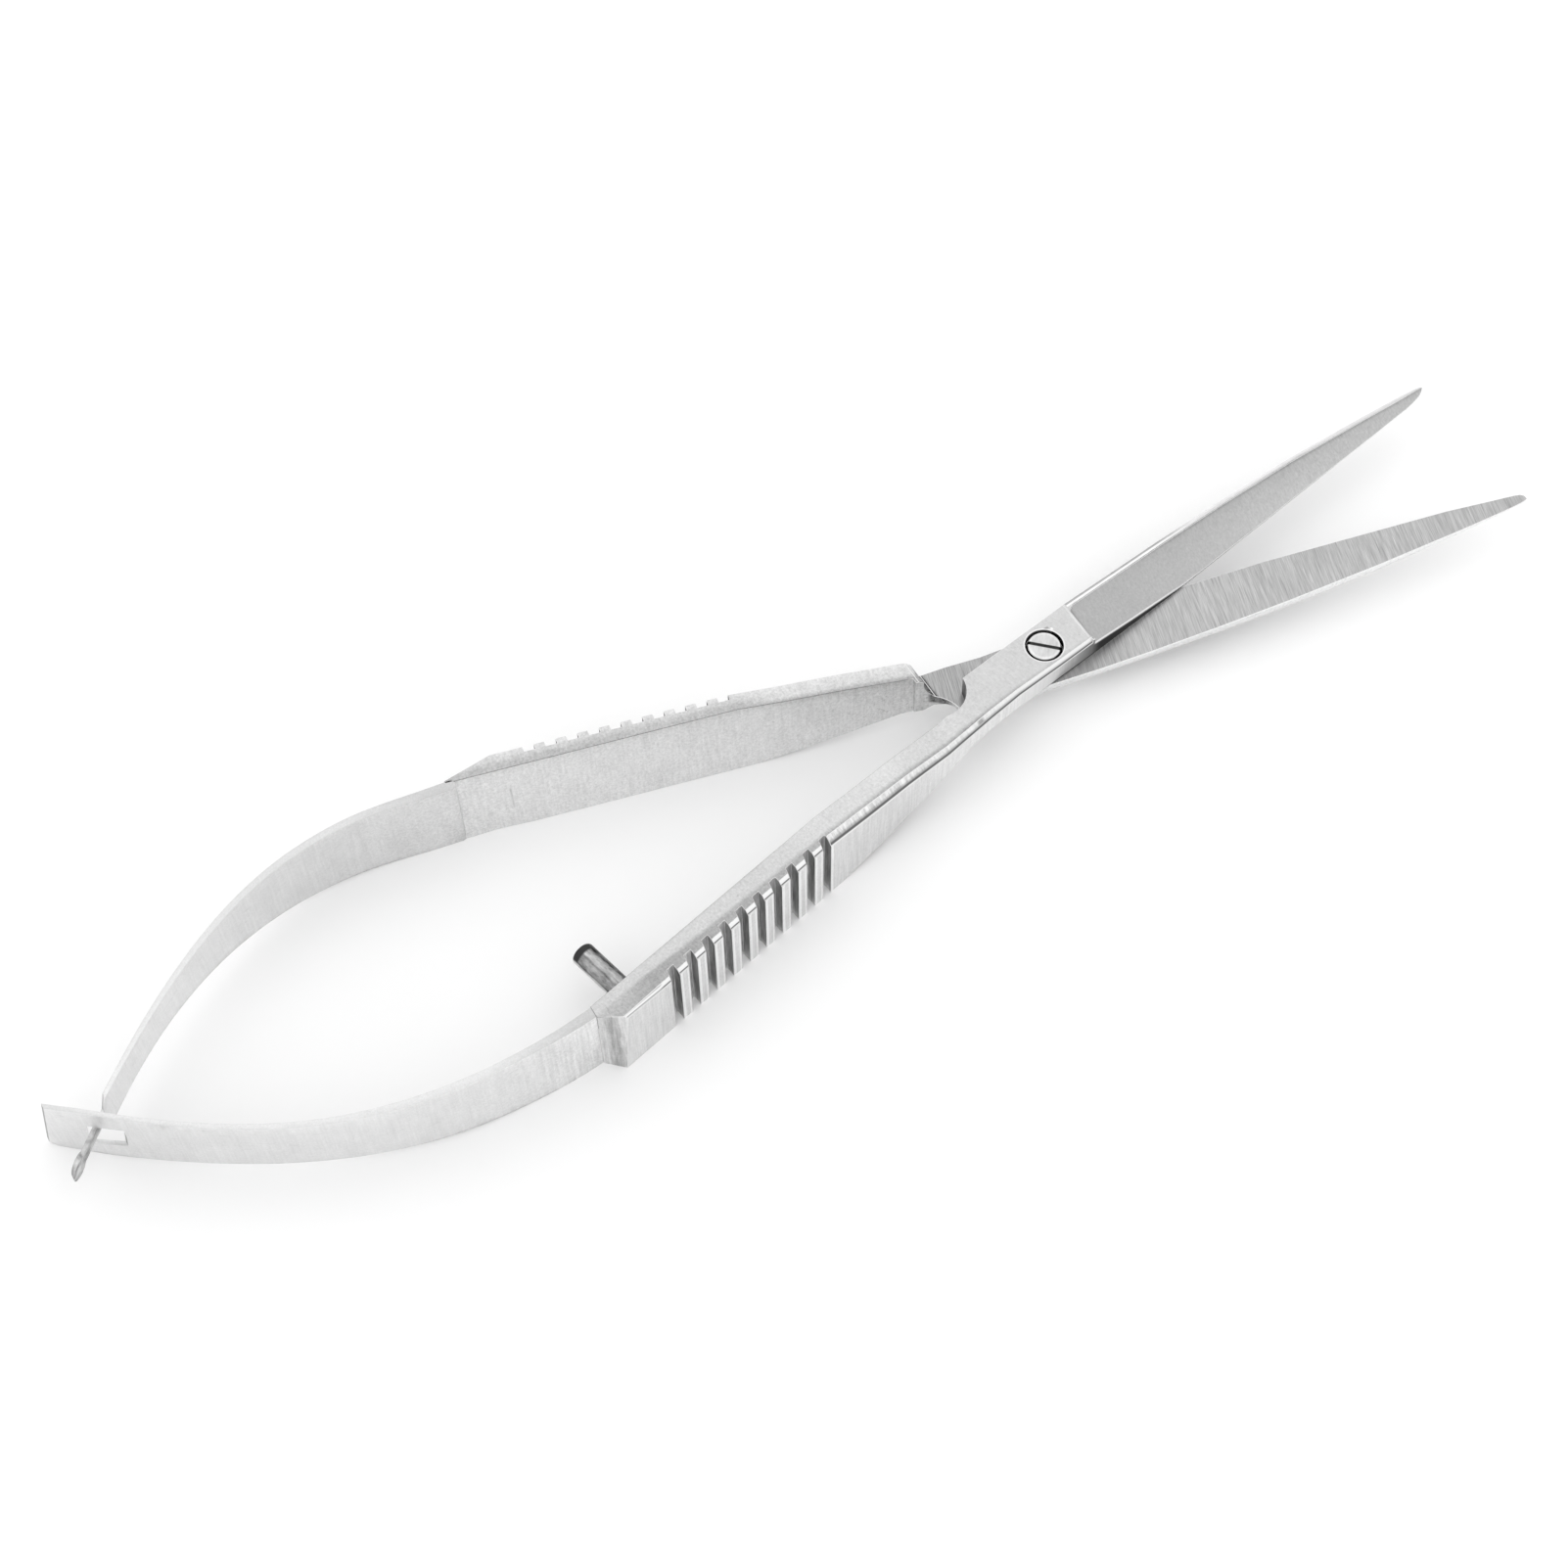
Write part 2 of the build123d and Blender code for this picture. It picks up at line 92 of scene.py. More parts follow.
# ---------------------------------------------------------------- shader nodes
class Paint:
    """A Principled material and short names for its nodes."""

    def __init__(self, name, metallic=1.0):
        self.gain = METAL_GAIN if metallic else 1.0
        self.material = bpy.data.materials.new(name)
        self.material.use_nodes = True
        self.tree = self.material.node_tree
        self.tree.nodes.clear()
        out = self.new("OutputMaterial")
        self.shader = self.new("BsdfPrincipled")
        self.plug(metallic, self.shader.inputs["Metallic"])
        self.plug(self.shader.outputs["BSDF"], out.inputs["Surface"])
        source = self.new("TexCoord")
        mapping = self.new("Mapping")
        mapping.vector_type = "TEXTURE"
        self.plug(PIVOT, mapping.inputs["Location"])
        self.plug((MM, MM, MM), mapping.inputs["Scale"])
        self.plug(source.outputs["Object"], mapping.inputs["Vector"])
        self.place = mapping.outputs["Vector"]
        self.x, self.y, self.z = self.parts(self.place)

    def new(self, kind):
        return self.tree.nodes.new("ShaderNode" + kind)

    def plug(self, value, socket):
        """Links an output to the socket, or sets the socket to a number."""
        if isinstance(value, bpy.types.NodeSocket):
            self.tree.links.new(value, socket)
        else:
            socket.default_value = value

    def parts(self, vector):
        node = self.new("SeparateXYZ")
        self.plug(vector, node.inputs["Vector"])
        return node.outputs

    def normal(self):
        return self.parts(self.new("NewGeometry").outputs["Normal"])

    def maths(self, operation, *values):
        node = self.new("Math")
        node.operation = operation
        for value, socket in zip(values, node.inputs):
            self.plug(value, socket)
        return node.outputs[0]

    def add(self, *values):
        total = values[0]
        for value in values[1:]:
            total = self.maths("ADD", total, value)
        return total

    def times(self, *values):
        total = values[0]
        for value in values[1:]:
            total = self.maths("MULTIPLY", total, value)
        return total

    def less(self, a, b):
        return self.maths("SUBTRACT", a, b)

    def ramp(self, value, low, high, to_low=0.0, to_high=1.0, smooth=False):
        """to_low at low and to_high at high, level beyond them."""
        node = self.new("MapRange")
        node.interpolation_type = "SMOOTHSTEP" if smooth else "LINEAR"
        self.plug(value, node.inputs["Value"])
        self.plug(low, node.inputs["From Min"])
        self.plug(high, node.inputs["From Max"])
        self.plug(to_low, node.inputs["To Min"])
        self.plug(to_high, node.inputs["To Max"])
        return node.outputs["Result"]

    def path(self, value, points):
        """Straight runs through the given (value, result) points."""
        total = points[0][1]
        for (x0, y0), (x1, y1) in zip(points, points[1:]):
            if y1 != y0:
                total = self.add(total, self.ramp(value, x0, x1, 0.0, y1 - y0))
        return total

    def inside(self, value, low, high, soft):
        """1 between low and high, 0 outside, with soft ends."""
        rise = self.ramp(value, low - soft, low + soft, smooth=True)
        return self.times(rise, self.ramp(value, high - soft, high + soft, 1.0, 0.0, smooth=True))

    def mix(self, share, a, b):
        """a where share is 0, b where it is 1."""
        return self.ramp(share, 0.0, 1.0, a, b)

    def radius(self):
        """Distance in plan from the pivot."""
        return self.maths("SQRT", self.add(self.times(self.x, self.x), self.times(self.y, self.y)))

    def noise(self, scale, stretch=EVEN, turn=0.0, detail=3.0, rough=0.6, shift=0.0):
        """Noise with about scale spots to the millimetre, stretched, and turned in plan."""
        turned = self.new("Mapping")
        self.plug((0, 0, -turn), turned.inputs["Rotation"])
        self.plug((shift, shift, shift), turned.inputs["Location"])
        self.plug(self.place, turned.inputs["Vector"])
        stretched = self.new("Mapping")
        self.plug(stretch, stretched.inputs["Scale"])
        self.plug(turned.outputs["Vector"], stretched.inputs["Vector"])
        texture = self.new("TexNoise")
        self.plug(scale, texture.inputs["Scale"])
        self.plug(detail, texture.inputs["Detail"])
        self.plug(rough, texture.inputs["Roughness"])
        self.plug(stretched.outputs["Vector"], texture.inputs["Vector"])
        return texture.outputs["Fac"]

    def spread(self, noise, low, high):
        """Noise stretched over a range, leaving out its rare highs and lows."""
        return self.ramp(noise, 0.3, 0.7, low, high)

    def swing(self, noise, amount):
        return self.spread(noise, -amount, amount)

    def finish(self, tone, rough, height=None, depth=0.01):
        """Grey tone, roughness, and a bump with depth in millimetres."""
        colour = self.new("CombineColor")
        tone = self.maths("MINIMUM", self.maths("MAXIMUM", tone, DARKEST), LIGHTEST)
        tone = self.times(tone, self.gain)
        for channel in list(colour.inputs)[:3]:
            self.plug(tone, channel)
        self.plug(colour.outputs["Color"], self.shader.inputs["Base Color"])
        self.plug(rough, self.shader.inputs["Roughness"])
        if height is not None:
            bump = self.new("Bump")
            self.plug(BUMP_STRENGTH, bump.inputs["Strength"])
            self.plug(depth * MM, bump.inputs["Distance"])
            self.plug(height, bump.inputs["Height"])
            self.plug(bump.outputs["Normal"], self.shader.inputs["Normal"])
        return self.material


def side_distance(p):
    """Distance in plan from the upper lever's outer side."""
    return p.add(p.y, BAR_OFFSET, p.times(p.x, -SLOPE), p.times(p.path(p.x, SIDE_BEND), -1.0))


# ---------------------------------------------------------------- the two levers
def upper_top(p, away, grain, brushed):
    """The top face: a soft band of painted shade beside the chamfer, a faint painted dark line near the inner
    edge, painted highlights round the screw's well, beside the screw and along the step, and a small dark
    nick by the screw.
    """
    level = p.path(p.x, [(-54.0, 0.61), (-36.0, 0.62), (-30.0, 0.65), (-22.0, 0.69), (-10.0, 0.61),
                         (4.0, 0.62)])
    reach = p.path(p.x, [(-54.0, 2.3), (-50.0, 2.2), (-44.0, 1.85), (-38.0, 1.65), (-32.0, 1.45),
                         (-20.0, 1.4), (-14.0, 1.25), (-8.0, 1.05), (4.0, 0.9)])
    depth = p.path(p.x, [(-54.0, 0.1), (-50.0, 0.2), (-42.0, 0.18), (-30.0, 0.22), (-14.0, 0.25),
                         (-11.0, 0.33), (-8.5, 0.27), (-4.0, 0.16), (4.0, 0.08)])
    # painted shade in a soft band beside the chamfer
    shade = p.ramp(p.less(reach, away), 0.0, 0.55, smooth=True)
    # a faint painted dark line near the inner top edge
    inner = p.times(p.inside(away, 2.93, 3.4, 0.05), p.inside(p.x, -50.0, -34.0, 2.0))
    tone = p.add(level, p.times(shade, depth, -1.0), p.times(inner, -0.07))
    # a painted highlight round the rim of the screw's well
    well_highlight = p.inside(p.radius(), 1.85, 2.0, 0.04)
    tone = p.add(tone, p.times(well_highlight, 0.2))
    nick = p.times(p.inside(p.x, 1.05, 1.5, 0.1), p.inside(p.y, 1.45, 1.7, 0.1))
    # a painted glint beside the screw
    screw_glint = p.times(p.inside(p.x, 1.6, 1.8, 0.08), p.inside(p.y, 1.15, 1.4, 0.08))
    # a painted highlight along the edge at the step
    edge_highlight = p.inside(p.x, 4.15, 4.32, 0.05)
    tone = p.add(tone, p.times(nick, -0.3), p.times(screw_glint, 0.35), p.times(edge_highlight, 0.09))
    coarse = p.times(p.swing(grain, 0.11), p.ramp(p.x, -12.0, -8.0, 1.0, 0.7))
    return p.add(tone, coarse, p.swing(brushed, 0.03))


def upper_wall(p, away, normal_x, grain, down):
    """The walls: a painted highlight strip on both sides of each tooth, and a drawn face at the tail."""
    level = p.path(p.x, [(-20.0, 0.81), (-15.0, 0.93), (-5.0, 0.93), (0.0, 0.88)])
    tone = p.add(level, p.swing(down, 0.08), p.swing(grain, 0.09))
    tooth = p.maths("FRACT", p.times(p.add(p.x, -GROOVE_FIRST_X), 1.0 / GROOVE_PITCH))
    # painted highlights on both sides of each tooth
    strip = p.add(p.inside(tooth, 0.03, 0.15, 0.02), p.inside(tooth, 0.4, 0.47, 0.02))
    strip = p.times(strip, p.inside(p.x, -48.2, -29.0, 0.05), p.ramp(away, 0.3, 0.1))
    tone = p.add(tone, p.times(strip, 0.22))
    tail = p.ramp(normal_x, -0.3, -0.42, smooth=True)
    hollow = p.path(p.x, [(-57.2, 0.04), (-56.2, 0.0), (-55.7, -0.12), (-55.3, -0.3), (-54.9, -0.26),
                          (-54.5, -0.05)])
    drawn = p.noise(3.2, (1.0, 1.0, 0.09), detail=4.0, rough=0.75, shift=3.0)
    return p.add(tone, p.times(tail, p.add(hollow, p.swing(drawn, 0.17))))


def upper_steel():
    """Satin forging with fine pits."""
    p = Paint("upper_satin")
    normal_x, _, normal_z = p.normal()
    upward = p.ramp(p.maths("ABSOLUTE", normal_z), WALL_Z, TOP_Z, smooth=True)
    away = side_distance(p)
    grain = p.noise(3.8, **FORGED)
    brushed = p.noise(8.0, (1.0, 0.12, 0.12), BAR_TURN)
    down = p.noise(4.5, UPRIGHT, detail=4.0)
    cloud = p.noise(0.4, (1.0, 1.0, 0.6), rough=0.55)
    top = upper_top(p, away, grain, brushed)
    wall = upper_wall(p, away, normal_x, grain, down)
    # top faces are painted darker than the walls, offsetting the stronger light that falls on them
    tone = p.add(p.mix(upward, wall, top), p.swing(cloud, 0.02))
    pits = p.ramp(p.noise(2.6, detail=2.0, shift=4.0), 0.68, 0.76)
    tone = p.add(tone, p.times(pits, -0.12))
    height = p.add(grain, p.mix(upward, down, brushed), p.times(pits, -1.0))
    return p.finish(tone, p.spread(grain, 0.34, 0.44), height, 0.005)


def lower_top(p):
    """The top face, with painted shade along its inner edge."""
    away = p.add(p.y, p.times(p.x, SLOPE), -INNER_OFFSET)
    # painted shade along the inner edge
    back = p.path(away, [(0.0, 0.49), (0.7, 0.52), (1.0, 0.6), (1.5, 0.66), (2.2, 0.74)])
    front = p.path(away, [(0.0, 0.42), (0.3, 0.56), (0.5, 0.66), (1.4, 0.7), (2.2, 0.76)])
    level = p.mix(p.ramp(p.x, -30.0, -25.0, smooth=True), back, front)
    across = p.noise(4.0, (1.0, 0.08, 1.0), -BAR_TURN, detail=4.0, rough=0.65)
    return p.add(level, p.swing(across, 0.05))


def lower_wall(p):
    """The walls, with painted shade in a soft band under the top edge, and painted light making them lighter
    towards the blade.
    """
    # painted light: lighter towards the blade
    level = p.path(p.x, [(-58.0, 0.86), (-45.0, 0.87), (-28.0, 0.88), (-20.0, 0.84), (-12.7, 0.76),
                         (-8.6, 0.74), (-6.0, 0.86), (0.0, 0.95), (8.0, 1.05)])
    crest = p.path(p.x, [(-29.6, 4.5), (-25.0, 3.9), (-19.6, 3.35), (-14.0, 2.6), (-12.6, 2.45)])
    # painted shade in a soft band under the top edge
    band = p.path(p.less(crest, p.z), [(0.0, -0.14), (0.25, -0.1), (0.8, -0.02), (1.4, 0.0)])
    down = p.noise(4.0, UPRIGHT, detail=4.0)
    return p.add(level, p.times(band, p.ramp(p.x, -40.0, -24.0, 0.5, 1.0)), p.swing(down, 0.06))


def lower_steel():
    """Satin forging, pitted near its filed shoulder, with a dent and a dark patch on its inner wall."""
    p = Paint("lower_satin")
    _, normal_y, normal_z = p.normal()
    upward = p.ramp(normal_z, WALL_Z, TOP_Z, smooth=True)
    inward = p.ramp(normal_y, -0.1, -0.3)
    grain = p.noise(3.6, **FORGED)
    cloud = p.noise(0.5)
    dent = p.times(p.inside(p.x, -51.35, -51.2, 0.06), p.inside(p.z, -1.6, 1.4, 0.2), inward)
    wall = p.add(lower_wall(p), p.times(dent, p.ramp(grain, 0.4, 0.6, 0.0, -0.4)))
    # top faces are painted darker than the walls, offsetting the stronger light that falls on them
    tone = p.add(p.mix(upward, wall, lower_top(p)), p.swing(grain, 0.16), p.swing(cloud, 0.025))
    speck = p.noise(2.4, rough=0.65, shift=2.0)
    near = p.ramp(p.x, -26.0, -12.0, 0.15, 1.0, smooth=True)
    pits = p.times(p.ramp(speck, 0.56, 0.66), near)
    tone = p.add(tone, p.times(pits, p.mix(upward, -0.28, -0.04)))
    tone = p.add(tone, p.times(p.swing(speck, 0.12), near, p.ramp(upward, 1.0, 0.0)))
    # a darker patch on the inner wall beside the shoulder
    dark_patch = p.times(p.inside(p.x, -11.7, -10.2, 0.25), p.inside(p.z, -1.0, 0.3, 0.2))
    dark_patch = p.times(dark_patch, p.ramp(normal_z, 0.5, 0.3), inward)
    tone = p.add(tone, p.times(dark_patch, -0.5))
    height = p.add(grain, p.times(pits, -1.6), p.times(dent, -1.0))
    return p.finish(tone, p.spread(grain, 0.38, 0.5), height, 0.008)


def chamfer_steel():
    """Chamfer with a painted highlight and a painted dark line along its foot, small ticks, and a smudge at
    the neck.
    """
    p = Paint("bright_chamfer")
    up = p.maths("DIVIDE", side_distance(p), p.path(p.x, CHAMFER_WIDTHS))
    ticks = p.noise(2.2, (1.0, 0.25, 0.25), BAR_TURN, rough=0.7)
    grip = p.ramp(p.x, -29.8, -29.7)
    # painted highlight across the chamfer, broken by a painted dark line near its foot
    tooth = p.path(up, [(0.0, 0.78), (0.22, 0.72), (0.3, 0.14), (0.4, 0.14), (0.52, 0.9), (1.0, 0.97)])
    plain = p.path(up, [(0.0, 0.97), (0.08, 0.9), (0.15, 0.16), (0.28, 0.14), (0.4, 0.5), (0.62, 0.86),
                        (1.0, 0.95)])
    block = p.path(up, [(0.0, 0.78), (0.22, 0.7), (0.3, 0.4), (0.4, 0.4), (0.5, 0.95), (0.75, 0.95),
                        (0.9, 0.58)])
    fading = p.path(p.x, [(-22.0, 1.0), (-9.0, 0.5), (-4.0, 0.0)])
    mottle = p.times(p.ramp(ticks, 0.4, 0.62, -0.24, 0.06), fading)
    tone = p.add(p.mix(grip, tooth, plain), p.times(mottle, p.ramp(up, 0.3, 0.5), grip))
    smudge = p.times(p.inside(p.x, -10.3, -9.6, 0.2), p.ramp(up, 0.45, 0.6))
    smudge = p.times(smudge, p.ramp(ticks, 0.4, 0.55, 0.5, 1.0))
    tone = p.add(tone, p.times(smudge, -0.5))
    return p.finish(p.mix(p.ramp(p.x, -49.6, -50.0), tone, block), 0.3, ticks, 0.004)


def groove_steel(name, cheek_shade):
    """Unpolished groove, with painted light at its lower end and painted shade on its cheeks."""
    p = Paint(name)
    grain = p.noise(3.0, (1.0, 1.0, 0.1), detail=4.0, rough=0.7)
    # painted light towards the groove's open lower end
    tone = p.path(p.z, [(-4.5, 1.05), (-4.1, 0.98), (-3.6, 0.74), (-1.0, 0.68), (2.8, 0.66), (3.6, 0.66),
                        (4.4, 0.72)])
    # painted shade on the cheeks
    cheek = p.ramp(p.maths("ABSOLUTE", p.normal()[0]), 0.5, 0.8)
    tone = p.times(tone, p.mix(cheek, 1.0, cheek_shade))
    tone = p.times(tone, p.path(p.x, [(-49.5, 1.0), (-48.4, 1.0), (-47.4, 0.72), (-46.0, 0.98)]))
    return p.finish(p.add(tone, p.swing(grain, 0.24)), 0.5, grain, 0.01)


def notch_steel():
    """Filed wall with file marks, painted dark as shade and darkest at its foot."""
    p = Paint("filed_wall")
    marks = p.noise(2.2, UPRIGHT)
    # painted shade, darkest at the foot of the wall
    tone = p.add(p.path(p.z, [(0.0, 0.12), (0.8, 0.3), (2.5, 0.42)]), p.swing(marks, 0.22))
    return p.finish(tone, 0.5, marks, 0.01)


def edge_steel():
    """Rounded edges painted bright as highlights, with painted shade along the inner top edges of the bars.
    """
    p = Paint("bevel_highlight")
    grain = p.noise(4.0)
    inner = p.less(p.times(p.x, -SLOPE), p.maths("ABSOLUTE", p.y))
    # painted shade along the inner top edges of the bars
    inner_edge_shade = p.times(p.ramp(inner, -1.2, -0.2), p.ramp(p.z, 2.2, 2.4), p.ramp(p.x, -12.8, -13.4))
    seam = p.add(p.inside(p.x, -12.9, -12.3, 0.1), p.inside(p.x, -57.6, -56.6, 0.1))
    seam = p.times(seam, p.ramp(p.z, 2.2, 2.0))
    spine = p.ramp(p.less(p.path(p.x, SPINE_TOP), p.y), 0.3, 0.2)
    spine = p.times(p.ramp(p.x, 3.0, 5.0), spine)
    # painted highlight on the rounded edges
    tone = p.mix(spine, p.mix(inner_edge_shade, 0.86, 0.3), p.ramp(p.x, 17.0, 22.0, 0.45, 0.75))
    tone = p.add(p.mix(seam, tone, 0.68), p.swing(grain, 0.08))
    return p.finish(tone, 0.32, grain, 0.004)


# ---------------------------------------------------------------- the blades
def ground_face(name, turn, step=0.0):
    """Fine grinding lines square to the blade, a painted highlight along the cutting edge near the lap, and a
    painted shadow line and a rounded corner where there is a step.
    """
    p = Paint(name)
    fine = p.noise(9.0, (1.0, 0.07, 1.0), turn)
    wide = p.noise(5.0, (1.0, 0.06, 1.0), turn, rough=0.65)
    grain = p.noise(4.0, **FORGED)
    outer = p.ramp(p.x, 10.0, 34.0, 0.15, 1.0)
    across = p.add(p.y, p.times(p.x, -0.135), -1.9)
    tone = p.path(p.x, [(4.0, 0.48), (14.0, 0.5), (30.0, 0.53), (52.0, 0.53)])
    tone = p.add(tone, p.times(p.path(across, [(-2.6, 0.06), (-0.6, 0.0), (0.6, -0.07)]), outer))
    from_rim = p.less(p.less(p.path(p.x, SPINE_TOP), p.path(p.x, RIM_WIDTHS)), p.y)
    foot = p.path(from_rim, [(0.0, -0.13), (0.14, -0.09), (0.35, 0.0)])
    tone = p.add(tone, p.times(foot, p.ramp(p.x, 12.0, 18.0)))
    # painted highlight along the cutting edge near the lap
    edge = p.path(p.x, [(STEP_X, -1.95), (10.0, -0.95), (17.0, 0.3), (25.0, 1.95), (35.0, 4.0)])
    edge = p.inside(p.less(p.y, edge), -0.1, 0.14, 0.03)
    tone = p.add(tone, p.times(edge, p.ramp(p.x, 20.0, 12.0), 0.35))
    tone = p.add(tone, p.swing(fine, 0.04), p.times(p.swing(wide, 0.05), outer), p.swing(grain, 0.05))
    if step:
        # painted shadow line just inside the step
        tone = p.add(tone, p.ramp(p.x, 4.6, 4.85, -step, 0.0))
        by_step = p.maths("MAXIMUM", p.ramp(p.x, STEP_X, 5.3, 1.0, 0.0), 0.0)
        by_rim = p.maths("MAXIMUM", p.ramp(from_rim, 0.0, 0.7, 1.0, 0.0), 0.0)
        corner = p.add(p.times(by_step, by_step), p.times(by_rim, by_rim))
        tone = p.mix(p.ramp(corner, 0.92, 1.08), tone, 0.64)
    return p.finish(tone, p.spread(fine, 0.44, 0.54), fine, 0.004)


def scratched_face(name, turn):
    """Coarse, uneven grinding scratches square to the blade, with painted shade where the flat meets the
    shoulder.
    """
    p = Paint(name)
    fine = p.noise(11.0, (1.0, 0.035, 1.0), turn, rough=0.65)
    lines = p.noise(7.5, (1.0, 0.03, 1.0), turn + 0.05, rough=0.65, shift=7.0)
    rare = p.noise(5.0, (1.0, 0.05, 1.0), turn - 0.06, detail=4.0, rough=0.7, shift=3.0)
    cloud = p.noise(0.3)
    tone = p.path(p.x, [(-12.0, 0.42), (-2.0, 0.42), (10.0, 0.5), (30.0, 0.5), (52.0, 0.5)])
    tone = p.add(tone, p.swing(fine, 0.105), p.swing(lines, 0.1), p.swing(cloud, 0.015))
    bright = p.times(p.ramp(rare, 0.6, 0.68), p.ramp(p.x, 20.0, 36.0, 0.25, 1.0))
    tone = p.add(tone, p.times(bright, 0.14), p.ramp(rare, 0.4, 0.32, 0.0, -0.07))
    # painted shade where the flat meets the shoulder
    shoulder_shade = p.ramp(p.add(p.x, p.swing(cloud, 0.12)), -10.85, -11.05)
    tone = p.mix(shoulder_shade, tone, 0.06)
    height = p.add(p.times(fine, 0.5), lines)
    return p.finish(tone, p.spread(lines, 0.4, 0.52), height, 0.01)


def rim_steel():
    """Rim left beside the ground face: a painted dark line and a painted highlight at the lap, plain further
    out.
    """
    p = Paint("blade_rim")
    grain = p.noise(3.0, (0.3, 1.0, 1.0))
    share = p.maths("DIVIDE", p.less(p.path(p.x, SPINE_TOP), p.y), p.path(p.x, RIM_WIDTHS))
    # painted dark line and painted highlight at the lap
    at_lap = p.path(share, [(0.0, 0.4), (0.4, 0.42), (0.55, 0.9), (0.8, 0.9), (1.0, 0.6)])
    further = p.path(share, [(0.0, 0.86), (0.4, 0.78), (0.8, 0.68), (1.0, 0.5)])
    tone = p.add(p.mix(p.ramp(p.x, 17.0, 22.0), at_lap, further), p.swing(grain, 0.05))
    return p.finish(tone, 0.3, grain, 0.004)


def cutting_wall():
    """Wall under the cutting edge, with painted shade: light at the lap, nearly black along the blade, with a
    painted shadow line at its foot and a painted highlight along its top.
    """
    p = Paint("cutting_wall")
    grain = p.noise(4.0, UPRIGHT)
    crest = p.path(p.x, [(STEP_X, 1.75), (10.0, 1.0), (17.0, 0.28), (25.0, 0.2)])
    below = p.less(crest, p.z)
    # painted shade, darkening the wall towards the blade
    light = p.path(p.x, [(-6.0, 0.93), (-3.0, 0.84), (0.0, 0.73), (2.0, 0.66), (STEP_X, 0.28), (5.2, 0.2)])
    light = p.add(light, p.swing(grain, 0.04))
    # painted shadow line at the foot of the wall
    foot = p.times(p.ramp(p.z, 0.3, 0.1, smooth=True), p.ramp(p.x, -2.5, 0.0, smooth=True))
    # painted shade, nearly black, below the edge along the blade
    blade = p.times(p.ramp(p.x, STEP_X, 5.4), p.ramp(below, 0.05, 0.3))
    tone = p.mix(p.maths("MAXIMUM", foot, blade), light, DARKEST)
    # a painted highlight along the top of the wall
    edge_highlight = p.times(p.ramp(p.x, STEP_X, 5.0), p.ramp(below, 0.22, 0.05))
    return p.finish(p.mix(edge_highlight, tone, 0.85), 0.4, grain, 0.004)


# ---------------------------------------------------------------- springs, pin and screw
def leaf_steel(name, levels, root_x, streaks, tongue=0.0):
    """Brushed strip with fine streaks up and down, coarser beside its root, dark at its sawn end."""
    p = Paint(name)
    normal_x, _, normal_z = p.normal()
    upward = p.ramp(normal_z, WALL_Z, TOP_Z, smooth=True)
    streak = p.noise(3.6, (1.0, 1.0, 0.06), detail=4.0, rough=0.65)
    grain = p.noise(6.0)
    cloud = p.noise(0.45, (1.0, 1.0, 0.8))
    worn = p.ramp(p.noise(1.3, (0.35, 0.35, 2.2), shift=5.0), 0.62, 0.72)
    coarse = p.noise(3.6, **FORGED)
    near = p.ramp(p.x, root_x - 9.0, root_x, 0.35, streaks, smooth=True)
    tone = p.add(p.path(p.x, levels), p.times(p.swing(streak, 0.13), near), p.swing(grain, 0.035))
    tone = p.add(tone, p.times(p.swing(coarse, 0.14), p.ramp(p.x, root_x - 16.0, root_x, 0.2, 1.0)))
    tone = p.add(tone, p.swing(cloud, 0.025), p.times(worn, -0.07))
    # top faces are painted darker than the sides, offsetting the stronger light that falls on them, and
    # darker still by the root
    top = p.mix(p.ramp(p.x, root_x - 10.0, root_x - 1.0), p.times(p.path(p.x, levels), 0.9), 0.6)
    tone = p.mix(upward, tone, p.add(top, p.swing(grain, 0.05)))
    end = p.ramp(normal_x, -0.8, -0.95)
    tone = p.mix(end, tone, 0.3)
    if tongue:
        smear = p.noise(1.2, (0.5, 0.5, 1.6), shift=9.0)
        smear = p.ramp(smear, 0.38, 0.62, tongue - 0.25, tongue + 0.2)
        tone = p.mix(p.ramp(p.x, -96.3, -96.9), tone, smear)
    return p.finish(tone, p.spread(streak, 0.36, 0.46), p.add(streak, grain), 0.005)


